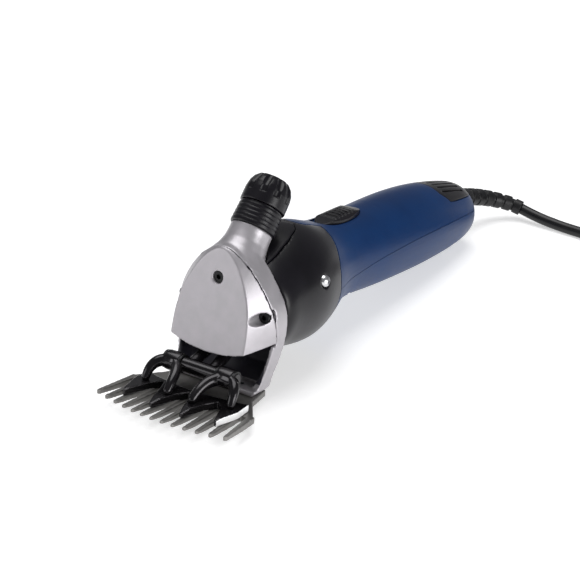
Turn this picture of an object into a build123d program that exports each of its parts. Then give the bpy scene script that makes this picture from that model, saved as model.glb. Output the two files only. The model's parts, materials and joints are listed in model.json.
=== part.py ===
from build123d import *
import math
import os

# Electric sheep shears: a hand-held shearing machine with a cast head, a gear housing, a
# motor in the handle and a mains cord.
#
# Every piece of the machine is drawn in the head's own frame, in millimetres:
#   z = 0 is the comb's top face, y = 0 is the centre tooth's tip, +Y runs back to the cord.
# set_down() then tips the machine back and rests it on the floor, z = 0.
# The cord's free length is drawn on the floor itself, in the finished frame.

# ---------------------------------------------------------------- driving dimensions
REST_TILT = 5.168           # degrees that the comb points up when the machine lies down
REST_LIFT = 11.263          # height of the frame's origin above the floor
MID_LENGTH = 151.453        # distance from the comb's tips to the middle of the machine
SEAM_GAP = 0.3              # visible joint between two casings
WALL = 2.6                  # casing wall
RUN = 0.05                  # radial clearance of a running fit

# comb and cutter
COMB_TEETH = 13
COMB_PITCH = 6.0
COMB_FLARE = 2.43           # extra sideways reach of the outermost teeth
COMB_BOW = 7.13             # how far the outermost tips stand back
COMB_THICK = 3.4
TOOTH_ROOT = 31.0
COMB_REAR = 63.0
CUTTER_TEETH = 4
CUTTER_PITCH = 18.1
CUTTER_TIP = 8.9
CUTTER_ROOT = 22.5
CUTTER_REAR = 36.0
CUTTER_THICK = 3.7
CUTTER_LIFT = 0.15          # oil film between the comb and the cutter
CUTTER_BOW = 3.2
FORK_REST = 1.8             # degrees that the fork stands off centre at rest

# fork and yokes
FORK_BAR_Y = 38.0
FORK_BAR_Z = 12.8
FORK_BAR_RADIUS = 3.8
YOKE_X = 15.6
EYE_RADIUS = 5.6
EYE_HALF = 4.2
CLIP_RADIUS = 4.7
CLIP_OFFSET = EYE_HALF + 0.6
INNER_FOOT = (7.4, 20.6)    # where the yokes' feet stand on the cutter
OUTER_FOOT = (25.4, 27.2)
HUB_Z = (19.7, 30.0)
TONGUE_Z = (15.6, 19.0)     # the casting's tongue under the fork's hub
POST_TOP = 26.0
CUP_Y = 53.4                # the pillar that the tension pin presses on
CUP_TOP = 44.1

# head
FACE_Y = 43.6
FACE_Z = 26.0
FACE_LEAN = 0.19            # the cover's flat face leans back by this much per unit height
SEAM_Y = 61.3
SEAM_Z = 29.0
SEAM_LEAN = -0.175
COVER_WALL = 2.2
HEAD_REAR = 69.5
LIP_CENTRE = 20.6
LIP_RADIUS = 66.0
HOLE_Z = 58.0
SIDE_SCREW = (24.5, 41.5)
SCREW_GRIP = (4.8, 9.0)     # shank lengths of the apex screw and of the flank screws
JAW_FLOOR = 3.9
JAW_WALL = 2.4
# half outlines seen from the front, as (x, z): the cover at its seam, the cover's flat face, the
# casting's rear, and the casting's foot
SHIELD_SIDE = [(29.5, 27.0), (29.7, 35.0), (28.0, 43.5), (24.5, 51.5), (19.8, 59.0), (14.6, 65.2),
               (9.8, 69.4), (4.9, 72.3), (0.0, 73.3)]
FACE_SIDE = [(22.3, 27.0), (21.9, 36.0), (20.4, 45.5), (17.4, 54.0), (13.2, 61.8), (9.4, 66.8),
             (5.8, 70.0), (2.9, 71.7), (0.0, 72.2)]
REAR_SIDE = [(29.4, 27.0), (30.2, 35.0), (28.8, 44.0), (25.2, 51.0), (21.0, 57.0), (16.3, 63.0),
             (11.8, 67.4), (7.0, 71.2), (0.0, 73.0)]
HEAD_OUTLINE_LOW = [(23.4, 0.0), (25.6, 2.6), (27.2, 12.0)]

# tension assembly, along an axis that leans back over the neck
NECK_POINT = (0, 77.3, 75.8)
NECK_LEAN = 38.0
COLLAR_RADIUS = 12.0
COLLAR_HEIGHT = 12.2
KNOB_RADIUS = 12.0
KNOB_HEIGHT = 15.8
KNOB_FLUTES = 10
FLUTE_RADIUS = 2.3
THREAD_RADIUS = 7.0
PIN_RADIUS = 2.6
PIN_FOOT = -39.0

# drive line
PIVOT_Y = 76.0
CRANK_Z = 25.0
CRANK_THROW = 2.9
CRANK_ANGLE = 34.5          # degrees that the crank pin stands below the horizontal at rest
GEAR_MODULE = 0.6
PINION_TEETH = 11
GEAR_TEETH = 37
MOTOR_Z = CRANK_Z + GEAR_MODULE * (PINION_TEETH + GEAR_TEETH) / 2
ROLLER_Y = (98.5, 104.0)
TAIL_END = ROLLER_Y[0] - 0.5    # the fork's tail stops short of the roller's end
GEAR_Y = (114.5, 119.5)
MOTOR_SHAFT_R = 2.5
ARMATURE_R = 14.2
STATOR_R = 19.2
STATOR_Y = (170.0, 210.0)
COMMUTATOR_Y = (220.0, 234.0)
COMMUTATOR_R = 8.0

# body: y, height of the centre line, half width and half height of each section
BODY = [
    (69.5, 38.4, 29.6, 25.6),
    (80.0, 39.2, 31.4, 28.2),
    (93.0, 39.7, 32.4, 31.1),
    (106.0, 39.6, 32.4, 32.7),
    (116.0, 39.7, 30.6, 31.5),
    (126.0, 40.1, 27.8, 28.3),
    (138.0, 40.5, 24.4, 24.5),
    (152.0, 40.4, 23.0, 23.0),
    (175.0, 39.2, 23.4, 23.3),
    (205.0, 38.3, 24.2, 24.2),
    (235.0, 37.3, 24.2, 24.2),
    (258.0, 36.1, 23.2, 23.0),
    (276.0, 34.9, 21.8, 21.2),
    (289.0, 34.2, 20.0, 19.2),
    (296.5, 33.9, 17.4, 17.0),
    (300.0, 33.8, 13.0, 13.2),
]
# the seam between the handle's halves, as (y, z)
PARTING = [(100, 39.6), (124, 38.9), (139, 38.1), (150, 38.4), (170, 40.3), (192, 41.5), (214, 42.0),
           (238, 41.6), (266, 40.4), (290, 38.6), (330, 36.0)]
PARTING_AT_SCREWS = 38.0
RIB_PLACES = (178.0, 201.0)
CAPACITOR_Z = (19.5, 28.5)
HOUSING_REAR = 120.5
TONGUE_WIDTH = 13.0
SWITCH_Y = 160.0
SWITCH_LENGTH = 40.0
SWITCH_WIDTH = 15.0
SWITCH_TRAVEL = 5.0
SWITCH_FLOOR = 61.4          # bottom of the pocket that the slide runs in
VENT_FRONT = 256.5
VENT_WIDTH = 34.0
VENT_SLOTS = 7
VENT_PITCH = 3.6
STRAIN_PATH = [(0, 297.5, 38.5), (2.4, 324, 35.8), (8, 337, 32.9), (15.5, 345, 30.3), (25, 348.5, 27.6)]
STRAIN_RADII = [6.2, 6.0, 5.6, 5.1, 4.6]

# cord, in the finished frame
CORD_RADIUS = 3.4
COIL_CENTRE = (105.0, 233.5)
COIL_ROWS = 4
COIL_COLUMNS = 3
COIL_MID_RADIUS = 35.0
CORD_POINTS = [(36.5, 196.2, 5.3), (54.0, 195.4, 3.4), (70.0, 193.6, 3.4), (88.0, 191.9, 3.4),
               (105.0, 191.7, 3.4)]
PLUG_AXIS = (35.2, 27.0)     # height of the plug's axis, and its distance from the coil's middle
PLUG_PIN_RADIUS = 2.4
PLUG_PIN_LENGTH = 19.0
PLUG_PIN_SPACING = 19.0


# ---------------------------------------------------------------- shared shapes
def rod(radius, start, end):
    """A round bar between two points."""
    start, end = Vector(start), Vector(end)
    plane = Plane(origin=start, z_dir=end - start)
    return plane * Cylinder(radius, (end - start).length, align=(Align.CENTER, Align.CENTER, Align.MIN))


def sleeve(outer, inner, start, end):
    """A round tube between two points."""
    return rod(outer, start, end) - rod(inner, start, end)


def along_y(radius, y_start, y_end, x=0.0, z=0.0):
    return rod(radius, (x, y_start, z), (x, y_end, z))


def block(x, y, z):
    """A box from three pairs of limits."""
    size = [pair[1] - pair[0] for pair in (x, y, z)]
    middle = [(pair[1] + pair[0]) / 2 for pair in (x, y, z)]
    return Pos(*middle) * Box(*size)


def side_slab(points, half_width=60.0):
    """A (y, z) outline carried to both sides of the middle plane."""
    outline = Polyline([(0, y, z) for y, z in points], close=True)
    return extrude(make_face(outline), amount=half_width, dir=(1, 0, 0), both=True)


def plan_slab(points, z_low, z_high):
    """An (x, y) outline raised between two heights."""
    outline = Polyline([(x, y, z_low) for x, y in points], close=True)
    return extrude(make_face(outline), amount=z_high - z_low, dir=(0, 0, 1))


def elliptic_loft(sections, inset=0.0):
    faces = []
    for y, z, half_width, half_height in sections:
        plane = Plane(origin=(0, y, z), x_dir=(1, 0, 0), z_dir=(0, 1, 0))
        faces.append(plane * Ellipse(half_width - inset, half_height - inset))
    return loft(faces)


def body_at(y):
    """Centre height, half width and half height of the body at y."""
    for low, high in zip(BODY, BODY[1:]):
        if low[0] <= y <= high[0]:
            share = (y - low[0]) / (high[0] - low[0])
            return [low[i] + share * (high[i] - low[i]) for i in (1, 2, 3)]
    return list(BODY[-1][1:])


def body_floor(x, y):
    """Height of the body's underside at (x, y)."""
    z_mid, half_width, half_height = body_at(y)
    return z_mid - half_height * math.sqrt(1 - (x / half_width) ** 2)


def turned_about_pivot(piece, degrees):
    """Swing a piece about the centre post."""
    return Pos(0, PIVOT_Y, 0) * Rot(0, 0, degrees) * Pos(0, -PIVOT_Y, 0) * piece


# ---------------------------------------------------------------- comb and cutter
def comb_tip(index):
    side = 2 * index / (COMB_TEETH - 1)
    return COMB_PITCH * index + COMB_FLARE * side ** 3, COMB_BOW * side ** 2


def comb_tooth(index):
    x, y = comb_tip(index)
    root_x = x * 0.93
    tip_half, root_half = 1.0, 1.75
    outline = [(x - tip_half, y + 1.2), (x - tip_half * 0.6, y), (x + tip_half * 0.6, y),
               (x + tip_half, y + 1.2), (root_x + root_half, TOOTH_ROOT + 3),
               (root_x - root_half, TOOTH_ROOT + 3)]
    return plan_slab(outline, -COMB_THICK, 0)


def make_comb():
    half = COMB_TEETH // 2
    back = [(-37.0, TOOTH_ROOT), (37.0, TOOTH_ROOT), (36.4, 34.0), (26.8, 47.5), (24.0, COMB_REAR),
            (-24.0, COMB_REAR), (-26.8, 47.5), (-36.4, 34.0)]
    comb = plan_slab(back, -COMB_THICK, 0)
    for index in range(-half, half + 1):
        comb += comb_tooth(index)
    # the underside of the teeth rises towards the tips, so that the comb slides through the wool
    comb -= side_slab([(-2, -COMB_THICK - 1), (24, -COMB_THICK - 1), (24, -COMB_THICK), (8, -2.3),
                       (-2, -0.9)])
    # the tips' upper faces roll over
    comb -= side_slab([(-2, -0.7), (1.0, 0), (1.0, 1), (-2, 1)], half_width=17.0)
    for x in (-14.0, 14.0):
        comb -= rod(2.7, (x, 56, -5), (x, 56, 1))
        comb -= block((x - 2.7, x + 2.7), (56, COMB_REAR + 1), (-5, 1))
    return comb


def make_comb_screws():
    screws = Part()
    for x in (-14.0, 14.0):
        screw = rod(2.4, (x, 56, -COMB_THICK), (x, 56, JAW_FLOOR - 0.2))
        screw += rod(4.6, (x, 56, -COMB_THICK - 1.8), (x, 56, -COMB_THICK))
        screw += rod(3.8, (x, 56, -COMB_THICK - 2.5), (x, 56, -COMB_THICK - 1.8))
        screw -= block((x - 4.7, x + 4.7), (55.4, 56.6), (-COMB_THICK - 3, -COMB_THICK - 1.4))
        screws += screw
    return screws


def cutter_outline():
    """Saw-toothed front edge, from left to right, then the arched rear edge."""
    points = []
    reach = (CUTTER_TEETH - 1) / 2
    for index in range(CUTTER_TEETH):
        x = (index - reach) * CUTTER_PITCH
        y = CUTTER_TIP + CUTTER_BOW * (abs(x) / (reach * CUTTER_PITCH)) ** 2 - 0.5
        root = CUTTER_ROOT + CUTTER_BOW * (abs(x) / (reach * CUTTER_PITCH)) ** 2
        points += [(x * 0.96 - 5.0, root), (x - 0.7, y), (x + 0.7, y), (x * 0.96 + 5.0, root)]
        if index < CUTTER_TEETH - 1:
            points.append(((x + CUTTER_PITCH / 2) * 0.95, root + 6.0))
    outer = points[-1][0]
    points += [(outer - 0.6, CUTTER_REAR), (outer - 9, CUTTER_REAR - 2.2), (0, CUTTER_REAR - 5.0),
               (9 - outer, CUTTER_REAR - 2.2), (0.6 - outer, CUTTER_REAR)]
    return points


def make_cutter():
    top = CUTTER_LIFT + CUTTER_THICK
    cutter = plan_slab(cutter_outline(), CUTTER_LIFT, top)
    # each tooth is ground down to a thin point
    cutter -= side_slab([(0, CUTTER_LIFT + 1.1), (5, CUTTER_LIFT + 1.3), (14, top), (14, top + 1),
                         (0, top + 1)])
    for foot_x, foot_y in (INNER_FOOT, OUTER_FOOT):
        for x in (-foot_x, foot_x):
            cutter -= rod(1.25, (x, foot_y, 1.6), (x, foot_y, top + 1))
    return turned_about_pivot(cutter, FORK_REST)


# ---------------------------------------------------------------- fork and yokes
def make_fork():
    hub = rod(8.0, (0, PIVOT_Y, HUB_Z[0]), (0, PIVOT_Y, HUB_Z[1]))
    fork = hub
    for side in (-1, 1):
        fork += hull_bar((side * 4.0, PIVOT_Y - 2, 25.5), (side * 6.2, FORK_BAR_Y + 2, FORK_BAR_Z + 1.1),
                         3.4, 3.0)
    bar_end = YOKE_X + EYE_HALF + 1.6
    fork += rod(FORK_BAR_RADIUS, (-bar_end, FORK_BAR_Y, FORK_BAR_Z), (bar_end, FORK_BAR_Y, FORK_BAR_Z))
    # bridge and pillar under the tension pin
    fork += hull_bar((0, PIVOT_Y - 4, 25.6), (0, CUP_Y, 28.0), 4.2, 4.0)
    fork += rod(3.6, (0, CUP_Y, 26.0), (0, CUP_Y, CUP_TOP))
    # tail: its end is an arc about the centre post
    tail = block((-4.2, 4.2), (PIVOT_Y, TAIL_END + 2), (CRANK_Z - 5.5, CRANK_Z + 3.0))
    tail &= rod(TAIL_END - PIVOT_Y, (0, PIVOT_Y, 0), (0, PIVOT_Y, 60))
    fork += tail
    fork -= rod(3.0 + RUN, (0, PIVOT_Y, HUB_Z[0] - 1), (0, PIVOT_Y, POST_TOP + 0.4))
    return turned_about_pivot(fork, FORK_REST)


def hull_bar(start, end, start_radius, end_radius):
    """A tapered round bar with ball ends."""
    start_point, end_point = Vector(start), Vector(end)
    length = (end_point - start_point).length
    plane = Plane(origin=start_point, z_dir=end_point - start_point)
    bar = plane * Cone(start_radius, end_radius, length, align=(Align.CENTER, Align.CENTER, Align.MIN))
    return bar + Pos(*start) * Sphere(start_radius) + Pos(*end) * Sphere(end_radius)


def make_yoke(side):
    """A chicken-foot yoke: an eye on the fork's bar, an arched back and two pointed feet."""
    top = CUTTER_LIFT + CUTTER_THICK
    x = side * YOKE_X
    axis = (FORK_BAR_Y, FORK_BAR_Z)
    yoke = rod(EYE_RADIUS, (x - EYE_HALF, *axis), (x + EYE_HALF, *axis))
    shoulder = (x, FORK_BAR_Y - 6.0, FORK_BAR_Z + 2.0)
    yoke += hull_bar((x, FORK_BAR_Y - 1.5, FORK_BAR_Z + 1.2), shoulder, 4.1, 3.9)
    for foot, bow in ((INNER_FOOT, 0.84), (OUTER_FOOT, 1.0)):
        foot_x = side * foot[0]
        knee = (x + (foot_x - x) * bow, (shoulder[1] + foot[1]) / 2, FORK_BAR_Z - 0.8)
        yoke += hull_bar(shoulder, knee, 3.8, 3.2)
        yoke += hull_bar(knee, (foot_x, foot[1], top + 2.0), 3.2, 2.0)
        yoke += rod(2.0, (foot_x, foot[1], top), (foot_x, foot[1], top + 2.0))
        yoke += rod(1.15, (foot_x, foot[1], 1.9), (foot_x, foot[1], top))
    yoke -= rod(FORK_BAR_RADIUS, (x - 8, *axis), (x + 8, *axis))
    for clip_x in (x - CLIP_OFFSET, x + CLIP_OFFSET):
        yoke -= rod(CLIP_RADIUS + 0.1, (clip_x - 0.6, *axis), (clip_x + 0.6, *axis))
    return turned_about_pivot(yoke, FORK_REST)


def make_yoke_clips():
    """The rings that keep the yokes on the bar."""
    clips = Part()
    for x in (-YOKE_X - CLIP_OFFSET, -YOKE_X + CLIP_OFFSET, YOKE_X - CLIP_OFFSET, YOKE_X + CLIP_OFFSET):
        clips += sleeve(CLIP_RADIUS, FORK_BAR_RADIUS, (x - 0.5, FORK_BAR_Y, FORK_BAR_Z),
                        (x + 0.5, FORK_BAR_Y, FORK_BAR_Z))
    return turned_about_pivot(clips, FORK_REST)


def make_centre_post():
    post = rod(3.0, (0, PIVOT_Y, TONGUE_Z[0]), (0, PIVOT_Y, POST_TOP))
    return post + rod(4.6, (0, PIVOT_Y, TONGUE_Z[1]), (0, PIVOT_Y, TONGUE_Z[1] + 0.35))


# ---------------------------------------------------------------- head
def face_y(z):
    return FACE_Y + FACE_LEAN * (z - FACE_Z)


def seam_y(z):
    return SEAM_Y + SEAM_LEAN * (z - SEAM_Z)


def shield_wire(side, y_of, bottom, inset=0.0):
    """A closed shield outline on a leaning plane: straight base, two curved sides."""
    right = []
    for x, z in side:
        share = z / side[-1][1]
        right.append((max(x - inset, 0.0), z - inset * share))
    base_x = side[0][0] - inset
    points = [Vector(x, y_of(z), z) for x, z in right]
    mirrored = [Vector(-p.X, p.Y, p.Z) for p in points]
    low_right = Vector(base_x, y_of(bottom), bottom)
    low_left = Vector(-base_x, y_of(bottom), bottom)
    edges = [Line(low_left, low_right), Spline([low_right] + points), Spline(mirrored[::-1] + [low_left])]
    return Wire(edges)


def cover_blank(inset, front_shift, rear_shift, bottom):
    front = shield_wire(FACE_SIDE, lambda z: face_y(z) + front_shift, bottom, inset)
    rear = shield_wire(SHIELD_SIDE, lambda z: seam_y(z) + rear_shift, bottom, inset)
    return Part() + Solid.make_loft([front, rear], ruled=True)


def make_head_cover():
    cover = cover_blank(0.0, 0.0, 0.0, 14.0)
    cover -= cover_blank(COVER_WALL, COVER_WALL, 1.5, 12.0)
    # the lip is one shallow arc across the mouth
    cover &= along_y(LIP_RADIUS, 20, 90, z=LIP_CENTRE + LIP_RADIUS)
    # bosses behind the screws
    for x, z, seat, _ in cover_screw_places():
        boss = along_y(4.4, face_y(z) + 1, seat + 2.0, x=x, z=z)
        cover += boss & cover_blank(0.4, 0.4, 5.0, 12.0)
    for x, z, seat, _ in cover_screw_places():
        cover -= along_y(3.1, seat, 20, x=x, z=z)
        cover -= along_y(1.9, 80, 20, x=x, z=z)
    return cover


def cover_screw_places():
    """x, z, head seat and shank length of each screw: one under the apex, two on the flanks."""
    x, z = SIDE_SCREW
    flank = seam_y(z) - 0.5
    apex_grip, flank_grip = SCREW_GRIP
    return [(0, HOLE_Z, seam_y(HOLE_Z) - 3.0, apex_grip), (-x, z, flank, flank_grip),
            (x, z, flank, flank_grip)]


def make_cover_screws():
    screws = Part()
    for x, z, head_back, grip in cover_screw_places():
        screw = along_y(2.8, head_back - 2.6, head_back, x=x, z=z)
        screw += along_y(1.8, head_back, head_back + grip, x=x, z=z)
        hexagon = extrude(RegularPolygon(1.45, 6), amount=1.7)
        socket = Plane(origin=(x, head_back - 2.7, z), z_dir=(0, 1, 0)) * hexagon
        screws += screw - socket
    return screws


def head_wire(side, y, inset):
    """The head's front-view outline: flat floor, rounded corners and the shield's two sides."""
    floor = inset * JAW_FLOOR / JAW_WALL
    points = [(x - inset, z) for x, z in HEAD_OUTLINE_LOW[1:]]
    if inset:
        points[0] = (points[0][0], floor + 3.0)
    for x, z in side:
        share = z / side[-1][1]
        points.append((max(x - inset, 0.0), z - inset * share))
    right = [Vector(x, y, z) for x, z in points]
    left = [Vector(-p.X, p.Y, p.Z) for p in right]
    low_right = Vector(HEAD_OUTLINE_LOW[0][0] - inset, y, floor)
    low_left = Vector(-low_right.X, y, floor)
    return Wire([Line(low_left, low_right), Line(low_right, right[0]), Spline(right), Spline(left[::-1]),
                 Line(left[0], low_left)])


def head_prism(inset, y_low, y_high):
    """The head's outline carried back along the machine, widening behind the cover's seam."""
    middle = 58.0
    front = extrude(make_face(head_wire(SHIELD_SIDE, y_low, inset)), amount=middle - y_low, dir=(0, 1, 0))
    rear_wire = head_wire(REAR_SIDE, HEAD_REAR, inset)
    rear = Part() + Solid.make_loft([head_wire(SHIELD_SIDE, middle, inset), rear_wire], ruled=True)
    prism = front + rear
    if y_high > HEAD_REAR:
        prism += extrude(make_face(rear_wire), amount=y_high - HEAD_REAR, dir=(0, 1, 0))
    return prism


def neck_frame(height=0.0):
    """A plane square to the neck's axis, at a height above the collar's seat."""
    lean = math.radians(NECK_LEAN)
    axis = Vector(0, math.sin(lean), math.cos(lean))
    return Plane(origin=Vector(NECK_POINT) + axis * height, x_dir=(1, 0, 0), z_dir=axis)


def neck_turned(profile):
    """Turn a (radius, height) outline about the neck's axis."""
    base = neck_frame()
    outline = Polyline([base.from_local_coords((r, 0, h)) for r, h in profile], close=True)
    return revolve(make_face(outline), axis=Axis(base.origin, base.z_dir))


def tongue(grow=0.0):
    """The casting's tongue under the fork, which carries the centre post."""
    low, high = TONGUE_Z[0] - grow, TONGUE_Z[1] + grow
    return side_slab([(63.5, 6.5 - grow), (66.5, 11.0 - grow), (71.0, low), (84.0 + grow, low),
                      (84.0 + grow, high), (70.5, high), (61.5, 5.4)], half_width=8.0 + grow)


def make_head_casting():
    seam_foot = 26.1
    side_profile = [(51.0, 0.0), (50.4, 0.8), (50.4, JAW_FLOOR - 0.6), (53.6, JAW_FLOOR), (56.6, 12.0),
                    (59.2, seam_foot), (seam_y(seam_foot) + SEAM_GAP, seam_foot),
                    (seam_y(77) + SEAM_GAP, 77.0),
                    (HEAD_REAR, 78.0), (HEAD_REAR, 24.0), (67.4, 15.0), (65.0, 9.0), (64.0, 0.0)]
    casting = head_prism(0.0, 48.0, HEAD_REAR) & side_slab(side_profile)
    neck = neck_turned([(0, 0), (11.0, 0), (11.0, -4.0), (11.4, -8.0), (12.8, -12.5), (15.2, -17.0),
                        (18.3, -21.5),
                        (18.3, -30.0), (0, -30.0)])
    neck &= side_slab([(seam_y(40) + SEAM_GAP, 40.0), (seam_y(76) + SEAM_GAP, 76.0), (60, 100), (110, 100),
                       (110, 70), (84, 62), (78, 52), (78, 40)])
    casting += neck
    # tunnel for the fork, open at the mouth and at the gear housing
    tunnel = head_prism(JAW_WALL, 40.0, 82.0)
    tunnel &= side_slab([(40, JAW_FLOOR), (60, JAW_FLOOR), (70, 15.5), (82, 15.5), (82, 66), (40, 68)])
    casting -= tunnel
    casting += tongue()
    casting -= rod(3.0, (0, PIVOT_Y, TONGUE_Z[0] - 1), (0, PIVOT_Y, TONGUE_Z[1] + 1))
    # threaded posts of the cover screws; the apex post hangs from the roof in front of the tension pin
    solid_head = head_prism(0.2, 48.0, HEAD_REAR)
    for x, z, seat, grip in cover_screw_places():
        front = seat + 2.0 + SEAM_GAP
        casting -= along_y(4.6, seat - 6, front, x=x, z=z)
        post = along_y(4.4, front, HEAD_REAR if x else front + 5.0, x=x, z=z)
        if not x:
            post += block((-3.6, 3.6), (front, front + 5.0), (z, z + 12.0))
        casting += post & solid_head
        casting -= along_y(1.8, seat, seat + grip + 0.2, x=x, z=z)
    # bores for the tension sleeve and pin
    casting -= neck_frame(-60) * Cylinder(PIN_RADIUS + 0.4, 62, align=(Align.CENTER, Align.CENTER, Align.MIN))
    casting -= neck_frame(-16) * Cylinder(6.0, 20, align=(Align.CENTER, Align.CENTER, Align.MIN))
    for x in (-14.0, 14.0):
        casting -= rod(2.4, (x, 56, -1), (x, 56, JAW_FLOOR - 0.2))
    return casting


# ---------------------------------------------------------------- tension assembly
def make_tension_sleeve():
    """The ribbed collar on the neck, with the threaded tube that the knob runs on."""
    profile = [(0, 0), (COLLAR_RADIUS - 0.5, 0), (COLLAR_RADIUS, 0.5)]
    ribs = 5
    pitch = (COLLAR_HEIGHT - 1.4) / ribs
    for index in range(ribs):
        low = 0.7 + index * pitch
        taper = 0.12 * index
        profile += [(COLLAR_RADIUS - taper, low), (COLLAR_RADIUS - taper, low + pitch * 0.72),
                    (COLLAR_RADIUS - 0.5 - taper, low + pitch * 0.78),
                    (COLLAR_RADIUS - 0.5 - taper, low + pitch * 0.95)]
    profile += [(COLLAR_RADIUS - 0.9, COLLAR_HEIGHT), (THREAD_RADIUS, COLLAR_HEIGHT), (THREAD_RADIUS, 22.0),
                (0, 22.0)]
    collar = neck_turned(profile)
    collar += neck_turned([(0, -15.5), (5.9, -15.5), (5.9, 0), (0, 0)])
    bore = neck_turned([(0, -16), (PIN_RADIUS + RUN, -16), (PIN_RADIUS + RUN, 8), (4.6, 8), (4.6, 23),
                        (0, 23)])
    return collar - bore


def make_tension_knob():
    low = COLLAR_HEIGHT + SEAM_GAP
    high = low + KNOB_HEIGHT
    dome = [(0, low), (KNOB_RADIUS - 0.1, low), (KNOB_RADIUS, low + 0.6), (KNOB_RADIUS, low + 7.5),
            (KNOB_RADIUS - 0.5, low + 10.5), (KNOB_RADIUS - 1.7, low + 13.2), (KNOB_RADIUS - 3.9, low + 15.5),
            (KNOB_RADIUS - 6.2, high), (0, high)]
    knob = neck_turned(dome)
    hollow = neck_turned([(0, low - 1), (THREAD_RADIUS + 0.3, low - 1), (THREAD_RADIUS + 0.3, low + 12.6),
                          (0, low + 12.6)])
    knob -= hollow
    # each flute runs up the side and then leans in over the dome
    depth_path = [(KNOB_RADIUS + FLUTE_RADIUS - 1.0, low + 5.2),
                  (KNOB_RADIUS + FLUTE_RADIUS - 1.1, low + 9.4),
                  (KNOB_RADIUS - 2.6, high + 1.4)]
    for index in range(KNOB_FLUTES):
        angle = math.radians(360 * index / KNOB_FLUTES)
        stops = [neck_frame().from_local_coords((r * math.cos(angle), r * math.sin(angle), h))
                 for r, h in depth_path]
        knob -= rod(FLUTE_RADIUS, stops[0], stops[1])
        knob -= rod(FLUTE_RADIUS, stops[1], stops[2])
    return knob


def make_tension_pin():
    return neck_turned([(0, PIN_FOOT), (1.0, PIN_FOOT), (PIN_RADIUS, PIN_FOOT + 2.0), (PIN_RADIUS, 11.0),
                        (4.3, 11.0), (4.3, 13.0), (2.0, 13.0), (2.0, 14.5), (0, 14.5)])


def make_tension_spring():
    """The stack of disc springs between the knob's roof and the pin's head."""
    washers = Part()
    low = 13.2
    for index in range(6):
        start = low + index * 1.9
        washers += neck_turned([(2.3, start), (4.2, start + 0.5), (4.2, start + 1.3), (2.3, start + 0.8)])
    return washers


# ---------------------------------------------------------------- body casings
def body_solid(inset=0.0):
    return elliptic_loft(BODY, inset)


def housing_region(grow=0.0):
    """The part of the body that the gear housing covers: its rear edge sweeps back over the shoulders."""
    rear = HOUSING_REAR + grow
    edge = [(rear, 0.0), (rear, 44.0), (rear + 1.2, 50.0), (rear + 4.0, 55.0), (rear + 8.0, 60.0),
            (rear + 11.5, 64.5), (rear + 12.5, 80.0)]
    region = side_slab([(60.0, 0.0)] + edge + [(60.0, 80.0)])
    half = TONGUE_WIDTH / 2 - grow
    region -= block((-half, half), (112.0 + grow + half, 150), (50, 90))
    region -= rod(half, (0, 112.0 + grow + half, 50), (0, 112.0 + grow + half, 90))
    return region


def cap_region(grow=0.0):
    """The tongue-shaped cap on top of the gear housing, between the neck and the handle."""
    outline = [(-13.6 - grow, 60.0), (13.6 + grow, 60.0), (13.4 + grow, 80.0), (11.6 + grow, 94.0),
               (8.2 + grow, 105.0), (4.0 + grow / 2, 109.4 + grow), (-4.0 - grow / 2, 109.4 + grow),
               (-8.2 - grow, 105.0), (-11.6 - grow, 94.0), (-13.4 - grow, 80.0)]
    return plan_slab(outline, 55.0 - grow, 90.0)


def neck_clearance():
    return neck_turned([(0, 14.0), (COLLAR_RADIUS + 0.9, 14.0), (COLLAR_RADIUS + 0.9, -1.0), (11.6, -1.0),
                        (11.8, -8.0), (13.2, -12.5), (15.7, -17.0), (18.9, -21.5), (18.9, -32.0), (0, -32.0)])


def make_gear_housing(outer, inner):
    housing = (outer - inner) & housing_region()
    housing -= cap_region(0.15)
    housing -= block((-50, 50), (60, HEAD_REAR + 0.05), (0, 90))
    # front wall, flat against the head
    wall = outer & block((-50, 50), (HEAD_REAR + 0.05, HEAD_REAR + 2.6), (0, 90))
    wall -= along_y(27.0, 60, 90, z=38.5)
    housing += wall
    housing -= neck_clearance() & block((-40, 40), (60, 90), (50, 110))
    housing -= tongue(SEAM_GAP)
    for place in housing_screw_places():
        housing -= rod(3.6, place, (place[0] * 2, place[1], place[2]))
        housing -= rod(1.9, (0, place[1], place[2]), (place[0] * 2, place[1], place[2]))
    return housing


def housing_screw_places():
    half_width = body_at(101.0)[1]
    return [(side * (half_width - 2.6), 101.0, 49.6) for side in (-1, 1)]


def make_housing_screws():
    screws = Part()
    for x, y, z in housing_screw_places():
        outward = math.copysign(1, x)
        screws += rod(1.8, (x - outward * 7, y, z), (x, y, z))
        head = Pos(x, y, z) * Sphere(3.4)
        head &= block((x, x + outward * 4) if outward > 0 else (x - 4, x), (y - 5, y + 5), (z - 5, z + 5))
        socket = Plane(origin=(x + outward * 2.0, y, z), z_dir=(outward, 0, 0)) * extrude(
            RegularPolygon(1.3, 6), amount=3)
        screws += head - socket
    return screws


def make_housing_cap(outer, inner):
    cap = (outer - inner) & cap_region(-0.15) & housing_region(-SEAM_GAP)
    cap -= neck_clearance()
    cap -= block((-50, 50), (60, HEAD_REAR + 0.3), (0, 90))
    return cap


def above_parting(shift):
    curve = Spline([(0, y, z + shift) for y, z in PARTING])
    frame = Polyline([(0, PARTING[-1][0], PARTING[-1][1] + shift), (0, PARTING[-1][0], 90),
                      (0, PARTING[0][0], 90),
                      (0, PARTING[0][0], PARTING[0][1] + shift)])
    face = make_face(Wire([curve.edge()] + frame.edges()))
    return extrude(face, amount=60, dir=(1, 0, 0), both=True)


def vent_region(grow=0.0):
    """The filter cover's share of the handle: open upwards, so that it lifts straight off."""
    half = VENT_WIDTH / 2 + grow
    side = side_slab([(VENT_FRONT - grow, 90), (VENT_FRONT - grow, 54.6 - grow), (262 - grow, 50.6 - grow),
                      (330, 42.0 - grow), (330, 90)])
    plan = plan_slab([(-half, 262.0), (-half + 5, VENT_FRONT - grow), (half - 5, VENT_FRONT - grow),
                      (half, 262.0),
                      (half, 330), (-half, 330)], 30, 90)
    return side & plan


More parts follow.
